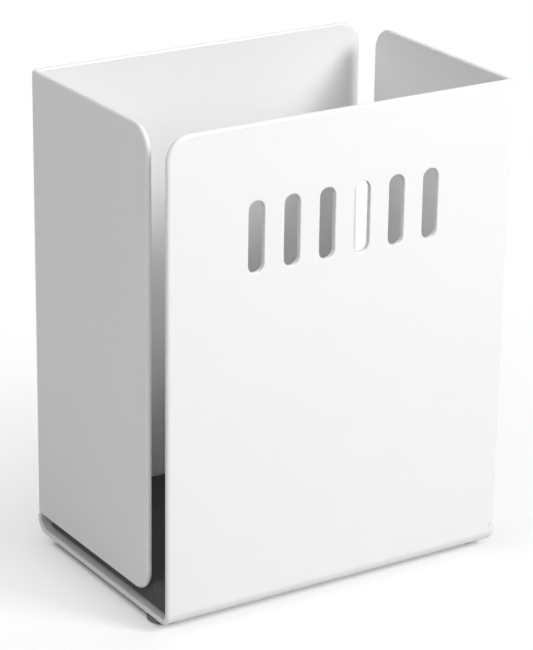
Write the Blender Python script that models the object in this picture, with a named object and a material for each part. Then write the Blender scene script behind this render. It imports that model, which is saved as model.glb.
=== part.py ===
"""Pen cup folded from one blank of powder-coated sheet steel, with a foam pad inside and four stick-on feet.

The flat blank is drawn first, with its round corners, slots and bend reliefs, and is then folded: the front
and back panels turn up from the base, and each carries one side wing that turns in round a vertical bend.
The base rests on four rubber feet, each held by a disc of adhesive, and a sheet of adhesive holds the pad.
Front is -Y, the open top is +Z, and the feet stand on z = 0.
"""

import math

import bmesh
import bpy
from mathutils import Matrix, Vector

MM = 0.001

# Folded sheet body, outside sizes
BODY_WIDTH = 79.5 * MM
BODY_DEPTH = 53.4 * MM
BODY_HEIGHT = 100.0 * MM
SHEET_THICKNESS = 1.2 * MM
BASE_BEND_RADIUS = 1.8 * MM
WING_BEND_RADIUS = 0.4 * MM
NEUTRAL_LAYER = 0.42
FREE_CORNER_RADIUS = 5.0 * MM
STRIP_INSET = 0.3 * MM
WING_GAP_ABOVE_BASE = 3.2 * MM
LEFT_SLIT = 6.0 * MM
RIGHT_SLIT = 4.9 * MM
BACK_PANEL_TAPER = 1.3 * MM

# Bend relief: a round-ended cut that parts a wing from the strip below it
RELIEF_WIDTH = 0.4 * MM
RELIEF_OVERRUN = 0.3 * MM
STRIP_CORNER_RADIUS = 0.35 * MM

# Row of slots through the front panel
SLOT_COUNT = 6
SLOT_WIDTH = 3.6 * MM
SLOT_LENGTH = 14.5 * MM
SLOT_PITCH = 8.0 * MM
SLOT_DROP_FROM_TOP = 15.2 * MM

# Foam pad on the base and the adhesive sheet under it
PAD_THICKNESS = 5.5 * MM
PAD_WING_CLEARANCE = 0.5 * MM
PAD_PANEL_CLEARANCE = 0.8 * MM
PAD_CORNER_RADIUS = 2.0 * MM
PAD_ADHESIVE_THICKNESS = 0.2 * MM
PAD_ADHESIVE_MARGIN = 2.5 * MM

# Rubber feet and the adhesive discs above them
FOOT_DIAMETER = 6.6 * MM
FOOT_HEIGHT = 0.9 * MM
FOOT_RIM_ROUNDING = 0.25 * MM
FRONT_FOOT_SIDE_MARGIN = 0.2 * MM
BACK_FOOT_SIDE_MARGIN = 2.5 * MM
FOOT_END_MARGIN = 1.2 * MM
FOOT_ADHESIVE_THICKNESS = 0.1 * MM
FOOT_ADHESIVE_MARGIN = 0.5 * MM

# Clearance left between pieces that touch
SEAT_GAP = 0.2 * MM

# Fineness of round shapes, and what counts as one point or a sharp edge
QUARTER_STEPS = 8
BEND_STEPS = 8
ROUND_SIDES = 40
RIM_STEPS = 3
SAME_POINT = 0.001 * MM
SHARP_ANGLE = math.radians(30)

# Levels above the desk
BASE_UNDERSIDE = FOOT_HEIGHT + FOOT_ADHESIVE_THICKNESS + 2 * SEAT_GAP
BASE_TOP = BASE_UNDERSIDE + SHEET_THICKNESS
PAD_ADHESIVE_BOTTOM = BASE_TOP + SEAT_GAP
PAD_BOTTOM = PAD_ADHESIVE_BOTTOM + PAD_ADHESIVE_THICKNESS + SEAT_GAP

# Flat blank, measured from the middle of the base
BASE_BEND_OUTSIDE = BASE_BEND_RADIUS + SHEET_THICKNESS
WING_BEND_OUTSIDE = WING_BEND_RADIUS + SHEET_THICKNESS
BASE_BEND_LENGTH = (BASE_BEND_RADIUS + NEUTRAL_LAYER * SHEET_THICKNESS) * math.pi / 2
WING_BEND_LENGTH = (WING_BEND_RADIUS + NEUTRAL_LAYER * SHEET_THICKNESS) * math.pi / 2
BASE_BEND_START = BODY_DEPTH / 2 - BASE_BEND_OUTSIDE
WING_BEND_START = BODY_WIDTH / 2 - WING_BEND_OUTSIDE
STRIP_HALF_WIDTH = BODY_WIDTH / 2 - STRIP_INSET
PANEL_START = BASE_BEND_START + BASE_BEND_LENGTH - BASE_BEND_OUTSIDE
WING_REACH = WING_BEND_START + WING_BEND_LENGTH + BODY_DEPTH - WING_BEND_OUTSIDE - SHEET_THICKNESS
WING_BOTTOM = PANEL_START + SHEET_THICKNESS + WING_GAP_ABOVE_BASE
RELIEF_BOTTOM = WING_BOTTOM - RELIEF_WIDTH
PANEL_TOP = PANEL_START + BODY_HEIGHT


def clear_scene():
    """Removes every object of the startup scene."""
    for found in list(bpy.data.objects):
        bpy.data.objects.remove(found)


def material(name, colour, roughness, metallic=0.0):
    """A plain Principled material."""
    made = bpy.data.materials.new(name)
    made.use_nodes = True
    shader = made.node_tree.nodes["Principled BSDF"]
    shader.inputs["Base Color"].default_value = (*colour, 1.0)
    shader.inputs["Roughness"].default_value = roughness
    shader.inputs["Metallic"].default_value = metallic
    return made


def rounded_outline(corners):
    """Points of a closed outline whose corners, each (x, y, radius), are rounded by arcs."""
    points = []
    for index, (x, y, radius) in enumerate(corners):
        corner = Vector((x, y))
        back = (Vector(corners[index - 1][:2]) - corner).normalized()
        ahead = (Vector(corners[(index + 1) % len(corners)][:2]) - corner).normalized()
        half_opening = back.angle(ahead) / 2
        centre = corner + (back + ahead).normalized() * radius / math.sin(half_opening)
        first = corner + back * radius / math.tan(half_opening) - centre
        turn = math.copysign(math.pi - 2 * half_opening, ahead.cross(back))
        steps = max(2, round(QUARTER_STEPS * abs(turn) / (math.pi / 2)))
        for step in range(steps + 1):
            points.append(centre + Matrix.Rotation(turn * step / steps, 2) @ first)
    return [point for point, last in zip(points, points[-1:] + points) if (point - last).length > SAME_POINT]


def circle_outline(diameter):
    """Points of a circle about the origin."""
    radius = diameter / 2
    angles = [2 * math.pi * side / ROUND_SIDES for side in range(ROUND_SIDES)]
    return [Vector((radius * math.cos(angle), radius * math.sin(angle))) for angle in angles]


def rectangle_outline(width, depth, radius):
    """Points of a rectangle about the origin with round corners."""
    x = width / 2
    y = depth / 2
    return rounded_outline([(x, y, radius), (-x, y, radius), (-x, -y, radius), (x, -y, radius)])


def filled_slab(loops, thickness):
    """A bmesh slab from z = 0 up to its thickness, from an outline and the outlines of its holes."""
    slab = bmesh.new()
    for loop in loops:
        corners = [slab.verts.new((x, y, 0)) for x, y in loop]
        for first, second in zip(corners, corners[1:] + corners[:1]):
            slab.edges.new((first, second))
    bmesh.ops.triangle_fill(slab, use_beauty=True, edges=slab.edges[:], normal=(0, 0, 1))
    grown = bmesh.ops.extrude_face_region(slab, geom=slab.faces[:])["geom"]
    top = [item for item in grown if isinstance(item, bmesh.types.BMVert)]
    bmesh.ops.translate(slab, verts=top, vec=(0, 0, thickness))
    bmesh.ops.recalc_face_normals(slab, faces=slab.faces[:])
    return slab


def finished_mesh(name, shape, finish):
    """Turns a bmesh into a mesh with its material, shaded smooth where faces meet at a shallow angle."""
    mesh = bpy.data.meshes.new(name)
    shape.to_mesh(mesh)
    shape.free()
    mesh.materials.append(finish)
    mesh.shade_smooth()
    mesh.set_sharp_from_angle(angle=SHARP_ANGLE)
    return mesh


def place(name, mesh, parent, location=(0, 0, 0)):
    """Adds an object of that mesh to the scene, under the cup's empty."""
    made = bpy.data.objects.new(name, mesh)
    bpy.context.scene.collection.objects.link(made)
    made.parent = parent
    made.location = location
    return made


def half_blank_corners(slit, taper):
    """Corners of the back half of the blank: right side of the strip, panel top, wing, relief, left side.

    The slit is left between the wing and the panel it folds towards, and the taper narrows the panel's top.
    """
    wing_tip = WING_REACH - slit
    relief_end = WING_BEND_START - RELIEF_OVERRUN
    return [
        (STRIP_HALF_WIDTH - taper, PANEL_TOP, FREE_CORNER_RADIUS),
        (-wing_tip, PANEL_TOP, FREE_CORNER_RADIUS),
        (-wing_tip, WING_BOTTOM, FREE_CORNER_RADIUS),
        (-relief_end, WING_BOTTOM, RELIEF_WIDTH / 2),
        (-relief_end, RELIEF_BOTTOM, RELIEF_WIDTH / 2),
        (-STRIP_HALF_WIDTH, RELIEF_BOTTOM, STRIP_CORNER_RADIUS),
    ]


def blank_outline():
    """The whole blank: its front half is laid out like the back half and turned by half a turn."""
    back = half_blank_corners(LEFT_SLIT, BACK_PANEL_TAPER)
    front = [(-x, -y, radius) for x, y, radius in half_blank_corners(RIGHT_SLIT, 0)]
    return rounded_outline(back + front)


def slot_outlines():
    """The row of round-ended slots, centred across the front panel of the blank."""
    middle = PANEL_TOP - SLOT_DROP_FROM_TOP - SLOT_LENGTH / 2
    slot = rectangle_outline(SLOT_WIDTH, SLOT_LENGTH, SLOT_WIDTH / 2)
    outlines = []
    for index in range(SLOT_COUNT):
        across = (index - (SLOT_COUNT - 1) / 2) * SLOT_PITCH
        outlines.append([point + Vector((across, -middle)) for point in slot])
    return outlines


def cut_at_bends(blank):
    """Cuts the blank along every line where the folded sheet changes direction."""
    for side in (-1, 1):
        for step in range(BEND_STEPS + 1):
            share = step / BEND_STEPS
            along = side * (BASE_BEND_START + share * BASE_BEND_LENGTH)
            across = side * (WING_BEND_START + share * WING_BEND_LENGTH)
            for point, normal in (((0, along, 0), (0, 1, 0)), ((across, 0, 0), (1, 0, 0))):
                geometry = [*blank.verts, *blank.edges, *blank.faces]
                bmesh.ops.bisect_plane(blank, geom=geometry, dist=SAME_POINT, plane_co=point, plane_no=normal)
    bmesh.ops.triangulate(blank, faces=blank.faces[:])


def bend(distance, depth, inside_radius, bend_length):
    """Turns a point up by a right angle, given its distance past the bend's start and depth in the sheet."""
    turn = min(max(distance / bend_length, 0), 1) * math.pi / 2
    centre = SHEET_THICKNESS + inside_radius
    radius = centre - depth
    past = max(distance - bend_length, 0)
    along = min(distance, 0) + radius * math.sin(turn) + past * math.cos(turn)
    up = centre - radius * math.cos(turn) + past * math.sin(turn)
    return along, up


def folded(point):
    """Where a point of the flat blank lies once the wing and the panel that carry it are folded."""
    x, y, depth = point
    panel_side = math.copysign(1, y)
    wing_side = -panel_side
    if x * wing_side > WING_BEND_START and abs(y) > (RELIEF_BOTTOM + WING_BOTTOM) / 2:
        past = x * wing_side - WING_BEND_START
        along, depth = bend(past, depth, WING_BEND_RADIUS, WING_BEND_LENGTH)
        x = wing_side * (WING_BEND_START + along)
    along, up = bend(abs(y) - BASE_BEND_START, depth, BASE_BEND_RADIUS, BASE_BEND_LENGTH)
    return Vector((x, panel_side * (BASE_BEND_START + along), up))


def make_folded_body(cup):
    """The sheet steel body, folded from its blank."""
    blank = filled_slab([blank_outline()] + slot_outlines(), SHEET_THICKNESS)
    cut_at_bends(blank)
    for vertex in blank.verts:
        vertex.co = folded(vertex.co)
    paint = material("white_powder_coat", (0.83, 0.83, 0.83), 0.42)
    place("folded_body", finished_mesh("folded_body", blank, paint), cup, (0, 0, BASE_UNDERSIDE))


def make_base_pad(cup):
    """The foam pad that lies between the panels and wings, and the adhesive sheet that holds it down."""
    width = BODY_WIDTH - 2 * (SHEET_THICKNESS + PAD_WING_CLEARANCE)
    depth = BODY_DEPTH - 2 * (SHEET_THICKNESS + PAD_PANEL_CLEARANCE)
    foam = material("charcoal_foam", (0.045, 0.045, 0.047), 0.9)
    pad = filled_slab([rectangle_outline(width, depth, PAD_CORNER_RADIUS)], PAD_THICKNESS)
    place("base_pad", finished_mesh("base_pad", pad, foam), cup, (0, 0, PAD_BOTTOM))
    glue = material("pad_adhesive", (0.75, 0.73, 0.66), 0.35)
    width -= 2 * PAD_ADHESIVE_MARGIN
    depth -= 2 * PAD_ADHESIVE_MARGIN
    sheet = filled_slab([rectangle_outline(width, depth, PAD_CORNER_RADIUS)], PAD_ADHESIVE_THICKNESS)
    place("pad_adhesive", finished_mesh("pad_adhesive", sheet, glue), cup, (0, 0, PAD_ADHESIVE_BOTTOM))


def foot_shape():
    """A flat rubber disc with a rounded lower rim."""
    foot = filled_slab([circle_outline(FOOT_DIAMETER)], FOOT_HEIGHT)
    rim = [edge for edge in foot.edges if edge.is_manifold and edge.calc_face_angle() > SHARP_ANGLE]
    lower = [edge for edge in rim if all(vertex.co.z < FOOT_HEIGHT / 2 for vertex in edge.verts)]
    bmesh.ops.bevel(
        foot, geom=lower, offset=FOOT_RIM_ROUNDING, segments=RIM_STEPS, profile=0.5, affect="EDGES"
    )
    return foot


def make_feet(cup):
    """Four rubber feet near the corners of the flat base, each with its adhesive disc."""
    rubber = material("grey_rubber", (0.09, 0.09, 0.09), 0.75)
    glue = material("foot_adhesive", (0.75, 0.73, 0.66), 0.35)
    foot = finished_mesh("foot", foot_shape(), rubber)
    disc = filled_slab([circle_outline(FOOT_DIAMETER - 2 * FOOT_ADHESIVE_MARGIN)], FOOT_ADHESIVE_THICKNESS)
    disc = finished_mesh("foot_adhesive", disc, glue)
    along = BASE_BEND_START - FOOT_END_MARGIN - FOOT_DIAMETER / 2
    rows = (("front", -along, FRONT_FOOT_SIDE_MARGIN), ("back", along, BACK_FOOT_SIDE_MARGIN))
    for row, y, side_margin in rows:
        across = STRIP_HALF_WIDTH - side_margin - FOOT_DIAMETER / 2
        for side, x in (("left", -across), ("right", across)):
            corner = f"{row}_{side}"
            place(f"foot_{corner}", foot, cup, (x, y, 0))
            place(f"foot_adhesive_{corner}", disc, cup, (x, y, FOOT_HEIGHT + SEAT_GAP))


def main():
    clear_scene()
    cup = bpy.data.objects.new("pen_cup", None)
    bpy.context.scene.collection.objects.link(cup)
    make_folded_body(cup)
    make_base_pad(cup)
    make_feet(cup)


main()
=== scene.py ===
"""Looks of the folded sheet-steel pen cup: painted sheet, foam pad, tape and rubber feet.

The painted body is folded again from its flat blank, finer than the solid and with rounded cut edges.
Lengths are metres, front is -Y and the open top is +Z.
"""

import math

import bmesh
import bpy
from mathutils import Matrix, Vector, noise


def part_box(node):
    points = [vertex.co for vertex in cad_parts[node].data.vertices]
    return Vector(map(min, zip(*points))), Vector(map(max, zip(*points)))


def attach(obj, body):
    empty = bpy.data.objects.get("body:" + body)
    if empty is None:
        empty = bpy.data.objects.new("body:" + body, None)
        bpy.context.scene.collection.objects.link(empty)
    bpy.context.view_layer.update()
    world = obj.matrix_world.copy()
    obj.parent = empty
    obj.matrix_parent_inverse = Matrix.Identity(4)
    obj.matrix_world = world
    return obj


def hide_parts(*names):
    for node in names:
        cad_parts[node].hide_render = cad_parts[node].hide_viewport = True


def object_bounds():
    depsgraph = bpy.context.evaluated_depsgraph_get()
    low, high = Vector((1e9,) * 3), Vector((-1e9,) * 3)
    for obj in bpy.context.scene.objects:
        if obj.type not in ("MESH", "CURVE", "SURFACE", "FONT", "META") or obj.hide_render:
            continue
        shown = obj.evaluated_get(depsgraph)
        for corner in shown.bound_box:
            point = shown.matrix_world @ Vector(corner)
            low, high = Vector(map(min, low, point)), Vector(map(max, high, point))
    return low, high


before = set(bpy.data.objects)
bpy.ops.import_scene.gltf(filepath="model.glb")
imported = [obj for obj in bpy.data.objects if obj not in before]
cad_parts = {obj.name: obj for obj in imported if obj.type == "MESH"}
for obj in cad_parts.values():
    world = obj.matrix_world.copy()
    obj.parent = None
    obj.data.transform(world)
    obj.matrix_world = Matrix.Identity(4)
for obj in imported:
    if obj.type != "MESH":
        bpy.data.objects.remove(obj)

cad_low, cad_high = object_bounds()

MM = 0.001
CORNERS = ("front_left", "front_right", "back_left", "back_right")

# Sheet body: its outside sizes come from the frame
body_low, body_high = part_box("folded_body")
BODY_WIDTH = body_high.x - body_low.x
BODY_DEPTH = body_high.y - body_low.y
BODY_HEIGHT = body_high.z - body_low.z
BASE_UNDERSIDE = body_low.z
SHEET_THICKNESS = 1.2 * MM
BASE_BEND_RADIUS = 1.8 * MM
WING_BEND_RADIUS = 0.4 * MM
NEUTRAL_LAYER = 0.42
FREE_CORNER_RADIUS = 5.0 * MM
STRIP_INSET = 0.3 * MM
WING_GAP_ABOVE_BASE = 3.2 * MM
LEFT_SLIT = 6.0 * MM
RIGHT_SLIT = 4.9 * MM
BACK_PANEL_TAPER = 1.3 * MM

# Cut edges: tumbled round and thick with paint, rolled a little further over on the outside by the punch
EDGE_ROLL_WIDTH = 0.75 * MM
EDGE_ROLL_DEPTH = 0.6 * MM
INSIDE_EDGE_RADIUS = 0.5 * MM
SLOT_EDGE_RADIUS = 0.2 * MM

# Tight corners: a rounding takes this share of their radius, and widens again along the next long run
CORNER_SHARE = 0.8
EDGE_ROLL_EASE = 2.0 * MM
LONG_RUN = 3 * EDGE_ROLL_EASE

# Bend relief: a round-ended cut that parts a wing from the strip below it
RELIEF_WIDTH = 0.4 * MM
RELIEF_OVERRUN = 0.3 * MM
STRIP_CORNER_RADIUS = 0.35 * MM

# Row of slots through the front panel
SLOT_COUNT = 6
SLOT_WIDTH = 3.6 * MM
SLOT_LENGTH = 14.5 * MM
SLOT_PITCH = 8.0 * MM
SLOT_DROP_FROM_TOP = 15.2 * MM

# Foam pad: softened edges, sides drawn in by the cutting die, and an uneven top
PAD_CORNER_RADIUS = 2.0 * MM
PAD_TOP_EDGE_RADIUS = 0.35 * MM
PAD_BOTTOM_EDGE_RADIUS = 0.3 * MM
PAD_SIDE_PINCH = 0.1 * MM
PAD_PINCH_LEVELS = (0.3, 0.5, 0.7)
PAD_CROWN = 0.1 * MM
PAD_CROWN_POWER = 4
PAD_UNEVENNESS = 0.06 * MM
PAD_LUMP_SIZE = 6.0 * MM
PAD_GRID = 1.5 * MM

# Rubber feet and tape
FOOT_RIM_ROUNDING = 0.25 * MM
FOOT_TOP_ROUNDING = 0.12 * MM
TAPE_EDGE_WAVE = 0.12 * MM
TAPE_WAVES = 9
TAPE_CORNER_RADIUS = 2.0 * MM

# Fineness of round shapes, and the distance within which two points are one
ARC_STEPS = 12
BEND_STEPS = 16
RIM_STEPS = 8
ROUND_SIDES = 72
SAME_POINT = 0.01 * MM

# Flat blank, measured from the middle of the base
BASE_BEND_OUTSIDE = BASE_BEND_RADIUS + SHEET_THICKNESS
WING_BEND_OUTSIDE = WING_BEND_RADIUS + SHEET_THICKNESS
BASE_BEND_LENGTH = (BASE_BEND_RADIUS + NEUTRAL_LAYER * SHEET_THICKNESS) * math.pi / 2
WING_BEND_LENGTH = (WING_BEND_RADIUS + NEUTRAL_LAYER * SHEET_THICKNESS) * math.pi / 2
BASE_BEND_START = BODY_DEPTH / 2 - BASE_BEND_OUTSIDE
WING_BEND_START = BODY_WIDTH / 2 - WING_BEND_OUTSIDE
STRIP_HALF_WIDTH = BODY_WIDTH / 2 - STRIP_INSET
PANEL_START = BASE_BEND_START + BASE_BEND_LENGTH - BASE_BEND_OUTSIDE
WING_REACH = WING_BEND_START + WING_BEND_LENGTH + BODY_DEPTH - WING_BEND_OUTSIDE - SHEET_THICKNESS
WING_BOTTOM = PANEL_START + SHEET_THICKNESS + WING_GAP_ABOVE_BASE
RELIEF_BOTTOM = WING_BOTTOM - RELIEF_WIDTH
RELIEF_MIDDLE = (RELIEF_BOTTOM + WING_BOTTOM) / 2
PANEL_TOP = PANEL_START + BODY_HEIGHT

# White paint: orange peel, fine grain and a slow drift of the sheen
PAINT_DULL = (0.90, 0.90, 0.90)
PAINT_CLEAR = (0.92, 0.92, 0.92)
PAINT_PEEL_SIZE = 2.2 * MM
PAINT_GRAIN_SIZE = 0.35 * MM
PAINT_DRIFT_SIZE = 30 * MM
PAINT_PEEL_SHARE = 0.8
PAINT_RELIEF = 0.006 * MM
PAINT_ROUGHNESS = 0.09
PAINT_ROUGHNESS_SPREAD = 0.03
PAINT_SPECULAR = 0.35

# Foam: open cells of two sizes, each cell's colour darker towards its middle as painted shade in its pit,
# and a slow drift of the colour
FOAM_DARK = (0.042, 0.042, 0.044)
FOAM_PALE = (0.10, 0.10, 0.104)
FOAM_PIT_SIZE = 0.55 * MM
FOAM_FINE_PIT_SIZE = 0.22 * MM
FOAM_DRIFT_SIZE = 9 * MM
FOAM_PIT_SHADE_SHARE = 0.55
FOAM_PIT_RELIEF_SHARE = 0.7
FOAM_RELIEF = 0.12 * MM
FOAM_ROUGHNESS = 0.95
FOAM_ROUGHNESS_SPREAD = 0.1

# Rubber: a matt tooth, and dust
RUBBER_CLEAN = (0.17, 0.17, 0.173)
RUBBER_DUSTY = (0.23, 0.23, 0.23)
RUBBER_TOOTH_SIZE = 0.25 * MM
RUBBER_DUST_SIZE = 2.5 * MM
RUBBER_DUST_DETAIL = 4.0
RUBBER_RELIEF = 0.02 * MM
RUBBER_ROUGHNESS = 0.68
RUBBER_ROUGHNESS_SPREAD = 0.14

# Tape: milky fibres that run along X
TAPE_FILM = (0.62, 0.60, 0.53)
TAPE_FIBRE = (0.78, 0.76, 0.70)
TAPE_FIBRE_SIZE = 0.4 * MM
TAPE_FIBRE_DETAIL = 3.0
TAPE_FIBRE_SHRINK = Vector((0.15, 1.0, 1.0))
TAPE_RELIEF = 0.02 * MM
TAPE_ROUGHNESS = 0.3
TAPE_ROUGHNESS_SPREAD = 0.2

# Camera, fitted to the cup's edges in the photograph
CAMERA_AZIMUTH = math.radians(-32.57)
CAMERA_ELEVATION = math.radians(20.92)
CAMERA_ROLL = math.radians(0.82)
CAMERA_DISTANCE = 575.1 * MM
CAMERA_AIM_ACROSS = -0.41 * MM
CAMERA_AIM_UP = -2.82 * MM
CAMERA_NEAR = 10 * MM
CAMERA_FAR = 20.0
LENS_MM = 156.8

# Soft lamps: name, azimuth and elevation in degrees, distance and size in metres, power in watts
LAMPS = (
    ("key_lamp", 30, 35, 0.7, 0.2, 3.0),
    ("fill_lamp", -5, 38, 1.0, 0.8, 3.6),
    ("left_lamp", -90, 35, 1.0, 0.8, 2.9),
    ("back_lamp", 170, 60, 1.0, 0.8, 2.2),
)

# White paper floor: darkest under the cup, where the camera's lift is left out over a patch as painted
# shade, a little lifted round it, and fading to plain white further away
WHITE = (1.0, 1.0, 1.0, 1.0)
FLOOR_RADIUS = 4.0
PAPER_GREY = 0.6
PAPER_SEEN_GREY = 0.85
PAPER_ROUGHNESS = 0.9
PAPER_LIFT = 0.2
PAPER_LIFT_REACH = 1.2 * MM
PAPER_PAINTED_SHADE_WIDTH = 76.4 * MM
PAPER_PAINTED_SHADE_DEPTH = 43 * MM
PAPER_FADE_REACH = 115 * MM
PAPER_FADE_POWER = 0.4

# The Mix node's colour sockets, by number because its names stand for several sockets each
MIX_FIRST = 6
MIX_SECOND = 7
MIX_RESULT = 2


class Term:
    """A shader socket that takes part in Python arithmetic."""

    def __init__(self, shading, socket):
        self.shading = shading
        self.socket = socket

    def math(self, operation, first, second):
        """The outcome of a Math node on two terms or plain numbers."""
        return self.shading.node("ShaderNodeMath", {"operation": operation}, {0: first, 1: second})

    def __add__(self, other):
        return self.math("ADD", self, other)

    def __radd__(self, other):
        return self.math("ADD", other, self)

    def __sub__(self, other):
        return self.math("SUBTRACT", self, other)

    def __rsub__(self, other):
        return self.math("SUBTRACT", other, self)

    def __mul__(self, other):
        return self.math("MULTIPLY", self, other)

    def __rmul__(self, other):
        return self.math("MULTIPLY", other, self)

    def __pow__(self, other):
        return self.math("POWER", self, other)

    def __rpow__(self, other):
        return self.math("POWER", other, self)


class Shading:
    """A node tree whose nodes are made by one method and joined by plain expressions."""

    def __init__(self, owner):
        owner.use_nodes = True
        self.tree = owner.node_tree

    def node(self, kind, settings, sockets, output=0):
        """Adds a node, sets it up, fills or links its sockets, and returns one of its outputs."""
        made = self.tree.nodes.new(kind)
        for name, value in settings.items():
            setattr(made, name, value)
        for name, value in sockets.items():
            self.feed(made.inputs[name], value)
        return Term(self, made.outputs[output])

    def feed(self, socket, value):
        """Links a term to a socket, or sets the socket to a plain value."""
        if isinstance(value, Term):
            self.tree.links.new(value.socket, socket)
        else:
            socket.default_value = value

    def rays(self, kind):
        """1 for light rays of that kind, else 0."""
        return self.node("ShaderNodeLightPath", {}, {}, f"Is {kind} Ray")

    def seen(self):
        """1 where the camera sees the surface directly, in a reflection or through glass, else 0."""
        return self.rays("Camera") + self.rays("Glossy") + self.rays("Transmission")


class Finish(Shading):
    """A material built on the Principled shader."""

    def __init__(self, name):
        self.material = bpy.data.materials.new(name)
        super().__init__(self.material)
        self.surface = self.tree.nodes["Principled BSDF"]

    def shade(self, **values):
        """Fills the Principled shader's sockets, named with underscores for spaces."""
        for name, value in values.items():
            self.feed(self.surface.inputs[name.replace("_", " ")], value)

    def place(self):
        """The point on the piece, in metres."""
        return self.node("ShaderNodeTexCoord", {}, {}, "Object")

    def clouds(self, place, size, detail=2.0):
        """Soft noise from 0 to 1 whose blotches are about that size."""
        sockets = {"Vector": place, "Scale": 1 / size, "Detail": detail}
        return self.node("ShaderNodeTexNoise", {}, sockets)

    def cells(self, place, size):
        """Distance to the middle of the nearest cell, from 0 to about 1."""
        return self.node("ShaderNodeTexVoronoi", {}, {"Vector": place, "Scale": 1 / size}, "Distance")

    def vector(self, operation, *values, output=0):
        """Vector arithmetic on points and plain vectors."""
        return self.node("ShaderNodeVectorMath", {"operation": operation}, dict(enumerate(values)), output)

    def ramp(self, value, end):
        """A rise from 0 to 1 while the value goes from 0 to that end."""
        return self.node("ShaderNodeMapRange", {}, {"Value": value, "From Max": end})

    def mix(self, share, first, second):
        """A colour between two colours."""
        settings = {"data_type": "RGBA", "clamp_factor": True}
        sockets = {"Factor": share, MIX_FIRST: (*first, 1.0), MIX_SECOND: (*second, 1.0)}
        return self.node("ShaderNodeMix", settings, sockets, MIX_RESULT)

    def relief(self, height, depth):
        """A normal from a height of 0 to 1 over that depth in metres."""
        return self.node("ShaderNodeBump", {}, {"Height": height, "Distance": depth, "Strength": 1.0})


def blend(share, first, second):
    """Two patterns in one, the first with that share and the second with the rest."""
    return share * first + (1 - share) * second


def grey(level):
    """A neutral colour."""
    return (level, level, level)


def white_powder_coat():
    """Semi-gloss white paint with faint orange peel and a slightly uneven sheen."""
    finish = Finish("white_powder_coat")
    place = finish.place()
    peel = finish.clouds(place, PAINT_PEEL_SIZE)
    grain = finish.clouds(place, PAINT_GRAIN_SIZE)
    drift = finish.clouds(place, PAINT_DRIFT_SIZE)
    finish.shade(
        Base_Color=finish.mix(drift, PAINT_DULL, PAINT_CLEAR),
        Roughness=PAINT_ROUGHNESS + PAINT_ROUGHNESS_SPREAD * (drift + grain),
        Specular_IOR_Level=PAINT_SPECULAR,
        Normal=finish.relief(blend(PAINT_PEEL_SHARE, peel, grain), PAINT_RELIEF),
    )
    return finish.material


def charcoal_foam():
    """Closed-cell foam: dark, dull and pitted with small open cells, their pits darkened by painted shade.
    """
    finish = Finish("charcoal_foam")
    place = finish.place()
    pits = finish.cells(place, FOAM_PIT_SIZE)
    fine = finish.cells(place, FOAM_FINE_PIT_SIZE)
    drift = finish.clouds(place, FOAM_DRIFT_SIZE)
    finish.shade(
        # The colour follows the pits' depth, painted shade in each cell, mixed with a slow drift of tone.
        Base_Color=finish.mix(blend(FOAM_PIT_SHADE_SHARE, pits, drift), FOAM_DARK, FOAM_PALE),
        Roughness=FOAM_ROUGHNESS - FOAM_ROUGHNESS_SPREAD * fine,
        Normal=finish.relief(blend(FOAM_PIT_RELIEF_SHARE, pits, fine), FOAM_RELIEF),
    )
    return finish.material


def grey_rubber():
    """Moulded grey rubber with a fine matt tooth and pale dust."""
    finish = Finish("grey_rubber")
    place = finish.place()
    tooth = finish.clouds(place, RUBBER_TOOTH_SIZE)
    dust = finish.clouds(place, RUBBER_DUST_SIZE, RUBBER_DUST_DETAIL)
    finish.shade(
        Base_Color=finish.mix(dust, RUBBER_CLEAN, RUBBER_DUSTY),
        Roughness=RUBBER_ROUGHNESS + RUBBER_ROUGHNESS_SPREAD * tooth,
        Normal=finish.relief(tooth, RUBBER_RELIEF),
    )
    return finish.material


def clear_tape(name):
    """Double-sided tape: a milky film with fine fibres along it."""
    finish = Finish(name)
    place = finish.vector("MULTIPLY", finish.place(), TAPE_FIBRE_SHRINK)
    fibres = finish.clouds(place, TAPE_FIBRE_SIZE, TAPE_FIBRE_DETAIL)
    finish.shade(
        Base_Color=finish.mix(fibres, TAPE_FILM, TAPE_FIBRE),
        Roughness=TAPE_ROUGHNESS + TAPE_ROUGHNESS_SPREAD * fibres,
        Normal=finish.relief(fibres, TAPE_RELIEF),
    )
    return finish.material


def rounded_outline(corners):
    """A closed anticlockwise outline whose corners, each (x, y, radius), are arcs.

    Each of its points comes with its outward normal and its reach, the radius of the corner it lies on.
    """
    points = []
    for index, (x, y, radius) in enumerate(corners):
        corner = Vector((x, y))
        back = (Vector(corners[index - 1][:2]) - corner).normalized()
        ahead = (Vector(corners[(index + 1) % len(corners)][:2]) - corner).normalized()
        half_opening = back.angle(ahead) / 2
        centre = corner + (back + ahead).normalized() * radius / math.sin(half_opening)
        first = (corner + back * radius / math.tan(half_opening) - centre).normalized()
        bulge = math.copysign(1, ahead.cross(back))
        for step in range(ARC_STEPS + 1):
            turn = bulge * (math.pi - 2 * half_opening) * step / ARC_STEPS
            spoke = Matrix.Rotation(turn, 2) @ first
            points.append((centre + spoke * radius, spoke * bulge, radius))
    pairs = zip(points, points[-1:] + points)
    return [point for point, last in pairs if (point[0] - last[0]).length > SAME_POINT]


def eased_outline(outline):
    """Adds a point near each end of every long straight run, where any rounding fits."""
    eased = []
    for here, ahead in zip(outline, outline[1:] + outline[:1]):
        eased.append(here)
        run = ahead[0] - here[0]
        if run.length > LONG_RUN:
            ease = run.normalized() * EDGE_ROLL_EASE
            eased.append((here[0] + ease, here[1], math.inf))
            eased.append((ahead[0] - ease, ahead[1], math.inf))
    return eased


def rectangle_outline(width, depth, radius):
    """A rectangle about the origin with round corners."""
    x = width / 2
    y = depth / 2
    return rounded_outline([(x, y, radius), (-x, y, radius), (-x, -y, radius), (x, -y, radius)])


def circle_outline(radius):
    """A circle about the origin."""
    angles = [2 * math.pi * side / ROUND_SIDES for side in range(ROUND_SIDES)]
    spokes = [Vector((math.cos(angle), math.sin(angle))) for angle in angles]
    return [(spoke * radius, spoke, radius) for spoke in spokes]


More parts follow.
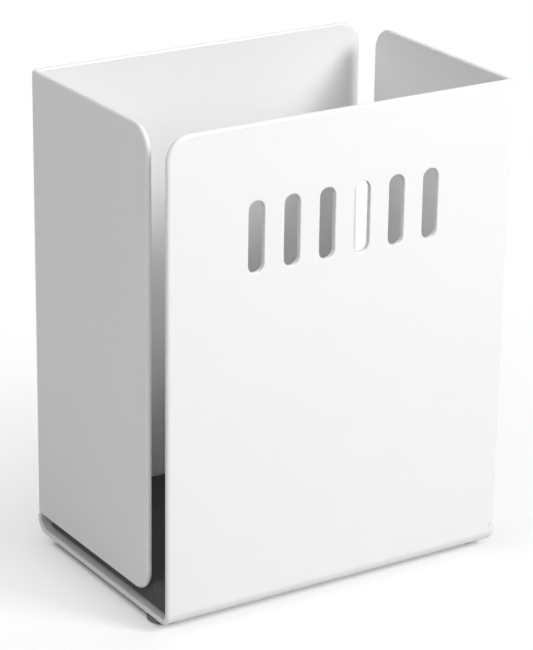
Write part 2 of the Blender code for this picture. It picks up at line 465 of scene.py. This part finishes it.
def wavy_outline(radius):
    """A circle about the origin whose edge waves inwards."""
    outline = []
    for point, normal, reach in circle_outline(radius):
        wave = math.sin(TAPE_WAVES * math.atan2(point.y, point.x))
        outline.append((point - normal * TAPE_EDGE_WAVE * (1 + wave) / 2, normal, reach))
    return outline


def half_blank_corners(slit, taper):
    """Corners of the back half of the blank: panel top, wing, relief, and left side of the strip.

    The slit is left between the wing and the panel it folds towards. The taper narrows the panel's top.
    """
    wing_tip = WING_REACH - slit
    relief_end = WING_BEND_START - RELIEF_OVERRUN
    return [
        (STRIP_HALF_WIDTH - taper, PANEL_TOP, FREE_CORNER_RADIUS),
        (-wing_tip, PANEL_TOP, FREE_CORNER_RADIUS),
        (-wing_tip, WING_BOTTOM, FREE_CORNER_RADIUS),
        (-relief_end, WING_BOTTOM, RELIEF_WIDTH / 2),
        (-relief_end, RELIEF_BOTTOM, RELIEF_WIDTH / 2),
        (-STRIP_HALF_WIDTH, RELIEF_BOTTOM, STRIP_CORNER_RADIUS),
    ]


def blank_outline():
    """The whole blank: its front half is laid out like the back half and turned by half a turn."""
    back = half_blank_corners(LEFT_SLIT, BACK_PANEL_TAPER)
    front = [(-x, -y, radius) for x, y, radius in half_blank_corners(RIGHT_SLIT, 0)]
    return eased_outline(rounded_outline(back + front))


def slot_outlines():
    """The row of round-ended slots, with normals that point out of the sheet into each slot."""
    middle = PANEL_TOP - SLOT_DROP_FROM_TOP - SLOT_LENGTH / 2
    slot = rectangle_outline(SLOT_WIDTH, SLOT_LENGTH, SLOT_WIDTH / 2)
    outlines = []
    for index in range(SLOT_COUNT):
        place = Vector(((index - (SLOT_COUNT - 1) / 2) * SLOT_PITCH, -middle))
        outlines.append([(point + place, -normal, math.inf) for point, normal, _ in slot])
    return outlines


def rounding(width, rise, level):
    """Steps of a quarter ellipse from a flat face at that level, up or down to an upright side."""
    angles = [math.pi / 2 * step / RIM_STEPS for step in range(RIM_STEPS + 1)]
    return [(width, 1 - math.sin(angle), rise * (1 - math.cos(angle)), level) for angle in angles]


def round_rims(lower, upper, height):
    """Steps of a side whose lower and upper rims are rounded by those radii."""
    return rounding(lower, lower, 0) + rounding(upper, -upper, height)[::-1]


def sharp_rims(bottom, top):
    """Steps of an upright side with nothing rounded, so that the width of the rounding doesn't matter."""
    return [(MM, 0, 0, level) for level in (bottom, top)]


def add_rings(shape, outline, steps):
    """Adds a ring of points for each step, joins the rings, and returns the first and the last.

    A step is the width of its rounding, the share of it drawn in, its rise at full width, and its level.
    """
    rings = []
    for width, share, rise, level in steps:
        ring = []
        for point, normal, reach in outline:
            fit = min(1, CORNER_SHARE * reach / width)
            ring.append(shape.verts.new((*(point - normal * width * share * fit), level + rise * fit)))
        rings.append(ring)
    for lower, upper in zip(rings, rings[1:]):
        for here in range(len(outline)):
            shape.faces.new((lower[here - 1], lower[here], upper[here], upper[here - 1]))
    return rings[0], rings[-1]


def ring_edges(shape, ring):
    """The edges along a ring of points."""
    return [shape.edges.get((ring[here - 1], ring[here])) for here in range(len(ring))]


def closed_shape(outline, steps):
    """A solid with rings at those steps and a flat face at each end."""
    shape = bmesh.new()
    first, last = add_rings(shape, outline, steps)
    shape.faces.new(reversed(first))
    shape.faces.new(last)
    bmesh.ops.recalc_face_normals(shape, faces=shape.faces[:])
    return shape


def painted_blank():
    """The flat blank with its slots and its softened cut edges, outside face down."""
    inside = rounding(INSIDE_EDGE_RADIUS, -INSIDE_EDGE_RADIUS, SHEET_THICKNESS)[::-1]
    tumbled = rounding(EDGE_ROLL_WIDTH, EDGE_ROLL_DEPTH, 0) + inside
    painted = round_rims(SLOT_EDGE_RADIUS, SLOT_EDGE_RADIUS, SHEET_THICKNESS)
    edges = [(blank_outline(), tumbled)] + [(slot, painted) for slot in slot_outlines()]
    blank = bmesh.new()
    under = []
    over = []
    for outline, steps in edges:
        first, last = add_rings(blank, outline, steps)
        under += ring_edges(blank, first)
        over += ring_edges(blank, last)
    for rims in (under, over):
        bmesh.ops.triangle_fill(blank, use_beauty=True, edges=rims, normal=(0, 0, 1))
    bmesh.ops.recalc_face_normals(blank, faces=blank.faces[:])
    return blank


def cut_across(shape, point, normal):
    """Cuts every face of the shape along a plane."""
    geometry = [*shape.verts, *shape.edges, *shape.faces]
    bmesh.ops.bisect_plane(shape, geom=geometry, dist=SAME_POINT, plane_co=point, plane_no=normal)


def cut_at_bends(blank):
    """Cuts the blank along every line where the folded sheet changes direction."""
    for side in (-1, 1):
        for step in range(BEND_STEPS + 1):
            share = step / BEND_STEPS
            cut_across(blank, (0, side * (BASE_BEND_START + share * BASE_BEND_LENGTH), 0), (0, 1, 0))
            cut_across(blank, (side * (WING_BEND_START + share * WING_BEND_LENGTH), 0, 0), (1, 0, 0))


def bend(distance, depth, inside_radius, bend_length):
    """Turns a point up by a right angle.

    The distance is measured past the bend's start, and the depth from the sheet's outside face.
    """
    turn = min(max(distance / bend_length, 0), 1) * math.pi / 2
    centre = SHEET_THICKNESS + inside_radius
    radius = centre - depth
    past = max(distance - bend_length, 0)
    along = min(distance, 0) + radius * math.sin(turn) + past * math.cos(turn)
    up = centre - radius * math.cos(turn) + past * math.sin(turn)
    return along, up


def folded(point):
    """Where a point of the flat blank lies once the wing and the panel that carry it are folded."""
    x, y, depth = point
    panel_side = math.copysign(1, y)
    wing_side = -panel_side
    if x * wing_side > WING_BEND_START and abs(y) > RELIEF_MIDDLE:
        past = x * wing_side - WING_BEND_START
        along, depth = bend(past, depth, WING_BEND_RADIUS, WING_BEND_LENGTH)
        x = wing_side * (WING_BEND_START + along)
    along, up = bend(abs(y) - BASE_BEND_START, depth, BASE_BEND_RADIUS, BASE_BEND_LENGTH)
    return Vector((x, panel_side * (BASE_BEND_START + along), BASE_UNDERSIDE + up))


def add_piece(name, shape, material, slot, *nodes):
    """Turns a bmesh into a smooth-shaded piece of the cup that stands for those nodes."""
    mesh = bpy.data.meshes.new(name)
    shape.to_mesh(mesh)
    shape.free()
    mesh.materials.append(material)
    mesh.shade_smooth()
    piece = bpy.data.objects.new(name, mesh)
    bpy.context.scene.collection.objects.link(piece)
    shading = piece.modifiers.new("even_shading", "WEIGHTED_NORMAL")
    shading.mode = "FACE_AREA"
    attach(piece, "root")
    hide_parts(*nodes)
    return piece


def make_body():
    """The painted sheet body, folded from its blank."""
    blank = painted_blank()
    cut_at_bends(blank)
    for vertex in blank.verts:
        vertex.co = folded(vertex.co)
    add_piece("painted_sheet_body", blank, white_powder_coat(), "white_powder_coat", "folded_body")


def make_pad_tape():
    """The tape under the pad, from the base up to the pad. Returns the height of its top."""
    low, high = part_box("pad_adhesive")
    pad_low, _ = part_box("base_pad")
    outline = rectangle_outline(high.x - low.x, high.y - low.y, TAPE_CORNER_RADIUS)
    tape = closed_shape(outline, sharp_rims(BASE_UNDERSIDE + SHEET_THICKNESS, pad_low.z))
    add_piece("pad_tape", tape, clear_tape("pad_tape"), "pad_adhesive", "pad_adhesive")
    return pad_low.z


def pad_side(height):
    """Steps of the pad's side: soft rims, and drawn in between them."""
    lower = rounding(PAD_BOTTOM_EDGE_RADIUS, PAD_BOTTOM_EDGE_RADIUS, 0)
    upper = rounding(PAD_TOP_EDGE_RADIUS, -PAD_TOP_EDGE_RADIUS, height)[::-1]
    waist = [(PAD_SIDE_PINCH, math.sin(math.pi * level), 0, height * level) for level in PAD_PINCH_LEVELS]
    return lower + waist + upper


def make_pad(bottom):
    """The foam pad, from the tape under it to the top of its solid, crowned and a little lumpy."""
    low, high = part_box("base_pad")
    width = high.x - low.x
    depth = high.y - low.y
    height = high.z - bottom
    pad = closed_shape(rectangle_outline(width, depth, PAD_CORNER_RADIUS), pad_side(height))
    for axis, length in ((Vector((1, 0, 0)), width), (Vector((0, 1, 0)), depth)):
        lines = round(length / PAD_GRID)
        for line in range(1, lines):
            cut_across(pad, axis * (line / lines - 0.5) * length, axis)
    for vertex in pad.verts:
        x, y, z = vertex.co
        fall = max((2 * x / width) ** PAD_CROWN_POWER, (2 * y / depth) ** PAD_CROWN_POWER)
        lump = noise.noise(vertex.co / PAD_LUMP_SIZE)
        sunk = PAD_CROWN * fall + PAD_UNEVENNESS * (1 + lump)
        vertex.co.z = bottom + z - z / height * sunk
    piece = add_piece("foam_pad", pad, charcoal_foam(), "charcoal_foam", "base_pad")


def make_foot(corner, material):
    """A rubber foot, up to the tape that holds it. Returns the height of its top."""
    low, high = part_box(f"foot_{corner}")
    tape_low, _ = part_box(f"foot_adhesive_{corner}")
    steps = round_rims(FOOT_RIM_ROUNDING, FOOT_TOP_ROUNDING, tape_low.z - low.z)
    foot = closed_shape(circle_outline((high.x - low.x) / 2), steps)
    middle = (low + high) / 2
    bmesh.ops.translate(foot, verts=foot.verts[:], vec=(middle.x, middle.y, low.z))
    add_piece(f"rubber_foot_{corner}", foot, material, "grey_rubber", f"foot_{corner}")
    return tape_low.z


def make_foot_tape(corner, material, bottom):
    """The tape between a foot and the base, its edge a little wavy."""
    low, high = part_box(f"foot_adhesive_{corner}")
    tape = closed_shape(wavy_outline((high.x - low.x) / 2), sharp_rims(bottom, BASE_UNDERSIDE))
    middle = (low + high) / 2
    bmesh.ops.translate(tape, verts=tape.verts[:], vec=(middle.x, middle.y, 0))
    add_piece(f"foot_tape_{corner}", tape, material, "foot_adhesive", f"foot_adhesive_{corner}")


def make_feet():
    """The four feet and the tape that holds each of them."""
    rubber = grey_rubber()
    tape = clear_tape("foot_tape")
    for corner in CORNERS:
        foot_top = make_foot(corner, rubber)
        make_foot_tape(corner, tape, foot_top)


def direction(azimuth, elevation):
    """The way out from the cup at an azimuth, counted from the front towards +X, and an elevation."""
    flat = math.cos(elevation)
    return Vector((math.sin(azimuth) * flat, -math.cos(azimuth) * flat, math.sin(elevation)))


def make_camera():
    """The camera where the photograph was taken from."""
    across = Vector((math.cos(CAMERA_AZIMUTH), math.sin(CAMERA_AZIMUTH), 0))
    back = direction(CAMERA_AZIMUTH, CAMERA_ELEVATION)
    up = back.cross(across)
    aim = Vector((0, 0, BASE_UNDERSIDE + BODY_HEIGHT / 2 + CAMERA_AIM_UP)) + across * CAMERA_AIM_ACROSS
    right = across * math.cos(CAMERA_ROLL) + up * math.sin(CAMERA_ROLL)
    top = up * math.cos(CAMERA_ROLL) - across * math.sin(CAMERA_ROLL)
    camera = bpy.data.objects.new("camera", bpy.data.cameras.new("camera"))
    camera.data.lens = LENS_MM
    camera.data.clip_start = CAMERA_NEAR
    camera.data.clip_end = CAMERA_FAR
    turned = Matrix((right, top, back)).transposed().to_4x4()
    camera.matrix_world = Matrix.Translation(aim + back * CAMERA_DISTANCE) @ turned
    bpy.context.scene.collection.objects.link(camera)
    bpy.context.scene.camera = camera


def make_lamp(name, azimuth, elevation, distance, size, power):
    """A square soft lamp that looks at the cup from that direction, in degrees."""
    away = direction(math.radians(azimuth), math.radians(elevation))
    lamp = bpy.data.objects.new(name, bpy.data.lights.new(name, "AREA"))
    lamp.data.size = size
    lamp.data.energy = power
    lamp.location = Vector((0, 0, BODY_HEIGHT / 2)) + away * distance
    lamp.rotation_mode = "QUATERNION"
    lamp.rotation_quaternion = away.to_track_quat("Z", "Y")
    bpy.context.scene.collection.objects.link(lamp)


def paper_sweep():
    """White paper that keeps the cup's shadow, with painted shade under the cup, and, where it is seen,
    fades to plain white.
    """
    finish = Finish("paper_sweep")
    seen = finish.seen()
    painted_shade_corner = Vector((PAPER_PAINTED_SHADE_WIDTH / 2, PAPER_PAINTED_SHADE_DEPTH / 2, 0))
    beyond = finish.vector("SUBTRACT", finish.vector("ABSOLUTE", finish.place()), painted_shade_corner)
    outside = finish.vector("MAXIMUM", beyond, Vector())
    away = finish.vector("LENGTH", outside, output="Value")
    # No lift over the patch under the cup, rising to the full lift past its edge: painted shade under the
    # cup.
    lift_past_painted_shade = finish.ramp(away, PAPER_LIFT_REACH)
    fade = finish.ramp(away, PAPER_FADE_REACH) ** PAPER_FADE_POWER
    finish.shade(
        Base_Color=finish.mix(seen, grey(PAPER_GREY), grey(PAPER_SEEN_GREY)),
        Roughness=PAPER_ROUGHNESS,
        Emission_Color=finish.mix(seen * lift_past_painted_shade, grey(0), grey(PAPER_LIFT)),
        Emission_Strength=1.0,
    )
    white = finish.node("ShaderNodeEmission", {}, {"Color": WHITE, "Strength": 1.0})
    paper = Term(finish, finish.surface.outputs[0])
    both = finish.node("ShaderNodeMixShader", {}, {0: seen * fade, 1: paper, 2: white})
    finish.feed(finish.tree.nodes["Material Output"].inputs["Surface"], both)
    return finish.material


def make_floor():
    """A wide floor of white paper at the feet."""
    mesh = bpy.data.meshes.new("floor")
    sweep = bmesh.new()
    bmesh.ops.create_circle(sweep, cap_ends=True, segments=ROUND_SIDES, radius=FLOOR_RADIUS)
    sweep.to_mesh(mesh)
    sweep.free()
    mesh.materials.append(paper_sweep())
    floor = bpy.data.objects.new("floor", mesh)
    floor.location.z = cad_low.z
    bpy.context.scene.collection.objects.link(floor)


def make_surroundings():
    """A white studio all round, seen as background and in reflections but giving no other light."""
    world = bpy.data.worlds.new("studio")
    bpy.context.scene.world = world
    shading = Shading(world)
    surround = shading.tree.nodes["Background"]
    shading.feed(surround.inputs["Color"], WHITE)
    shading.feed(surround.inputs["Strength"], shading.seen())


def make_studio():
    """White floor and surroundings, and the soft lamps."""
    make_floor()
    make_surroundings()
    for lamp in LAMPS:
        make_lamp(*lamp)
    bpy.context.scene.view_settings.view_transform = "Standard"


def make_cup():
    """The whole cup, each piece on what carries it."""
    make_body()
    tape_top = make_pad_tape()
    make_pad(tape_top)
    make_feet()


def main():
    make_camera()
    make_studio()
    make_cup()


main()
